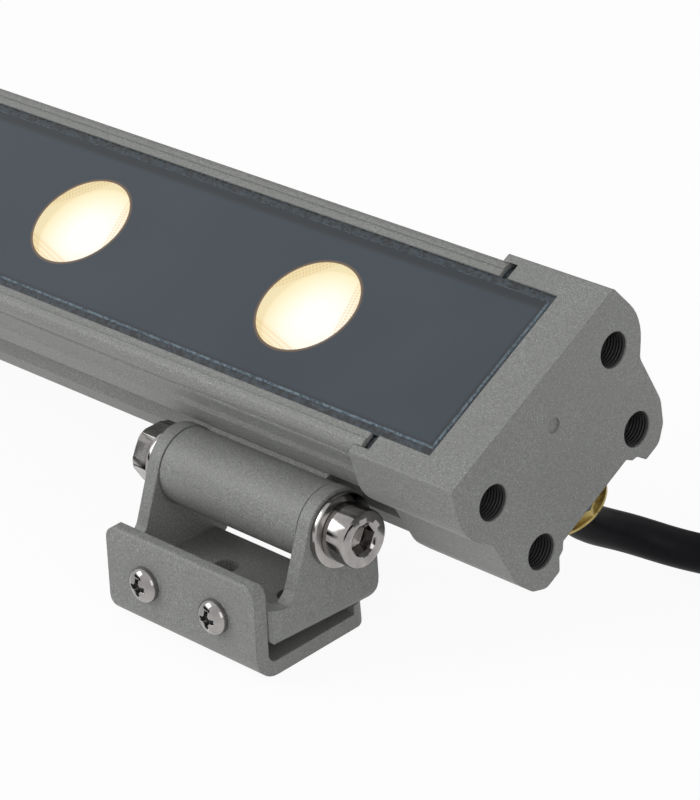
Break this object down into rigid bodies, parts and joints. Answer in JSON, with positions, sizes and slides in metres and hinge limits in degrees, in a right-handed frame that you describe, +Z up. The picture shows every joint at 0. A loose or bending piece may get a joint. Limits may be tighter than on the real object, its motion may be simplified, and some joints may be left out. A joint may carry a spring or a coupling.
{
  "type": "led linear light",
  "caption": "Extruded linear LED wall washer with a glass front, cast end caps and a pair of tilting brackets, with its cable leaving through a brass gland at one end.",
  "frame": {"origin": "centre of the right bracket's pair of fixing holes, on the mounting plane", "axes": "+X along the lamp towards its cable end, +Y to the back, +Z up out of the mounting plane"},
  "size_m": [0.7529, 0.115, 0.0748],
  "materials": {
    "powder_coat": "fine textured satin powder coat",
    "stainless": "polished",
    "gland_brass": "machined",
    "seal_rubber": "matt",
    "cable_rubber": "satin",
    "front_glass": "clear, with a dark printed back",
    "circuit_board": "matt",
    "led_phosphor": "matt",
    "lens_plastic": "clear, lit from behind",
    "black_plastic": "matt",
    "driver_case": "matt",
    "core_insulation": "satin"
  },
  "bodies": {
    "base": {"u_bracket_right": "powder_coat", "u_bracket_left": "powder_coat", "mount_plate_right": "powder_coat", "mount_plate_left": "powder_coat", "hinge_screws": "stainless", "hinge_nuts": "stainless", "hinge_washers": "stainless", "plate_screws": "stainless", "cord_run": "cable_rubber", "cord_coil": "cable_rubber", "cord_tail": "cable_rubber", "connector_boot": "cable_rubber", "connector_body": "black_plastic", "connector_ring": "black_plastic", "connector_cap": "black_plastic"},
    "lamp": {"housing_profile": "powder_coat", "end_cap_right": "powder_coat", "end_cap_left": "powder_coat", "end_gasket_right": "seal_rubber", "end_gasket_left": "seal_rubber", "end_cap_screws_right": "stainless", "end_cap_screws_left": "stainless", "glass_cover": "front_glass", "glass_seal": "seal_rubber", "led_board": "circuit_board", "leds": "led_phosphor", "lenses": "lens_plastic", "lens_holders": "black_plastic", "board_screws": "stainless", "driver": "driver_case", "led_wires": "core_insulation", "supply_wires": "cable_rubber", "gland_body": "gland_brass", "gland_washer": "seal_rubber", "gland_bush": "seal_rubber", "hinge_carrier_right": "powder_coat", "hinge_carrier_left": "powder_coat", "carrier_grub_screws": "stainless", "power_cord": "cable_rubber"}
  },
  "joints": [
    {"name": "lamp_tilt", "type": "hinge", "parent": "base", "child": "lamp", "pos_m": [0, 0.0058, 0.027], "axis": [1, 0, 0], "range_deg": [-26, 90]}
  ]
}
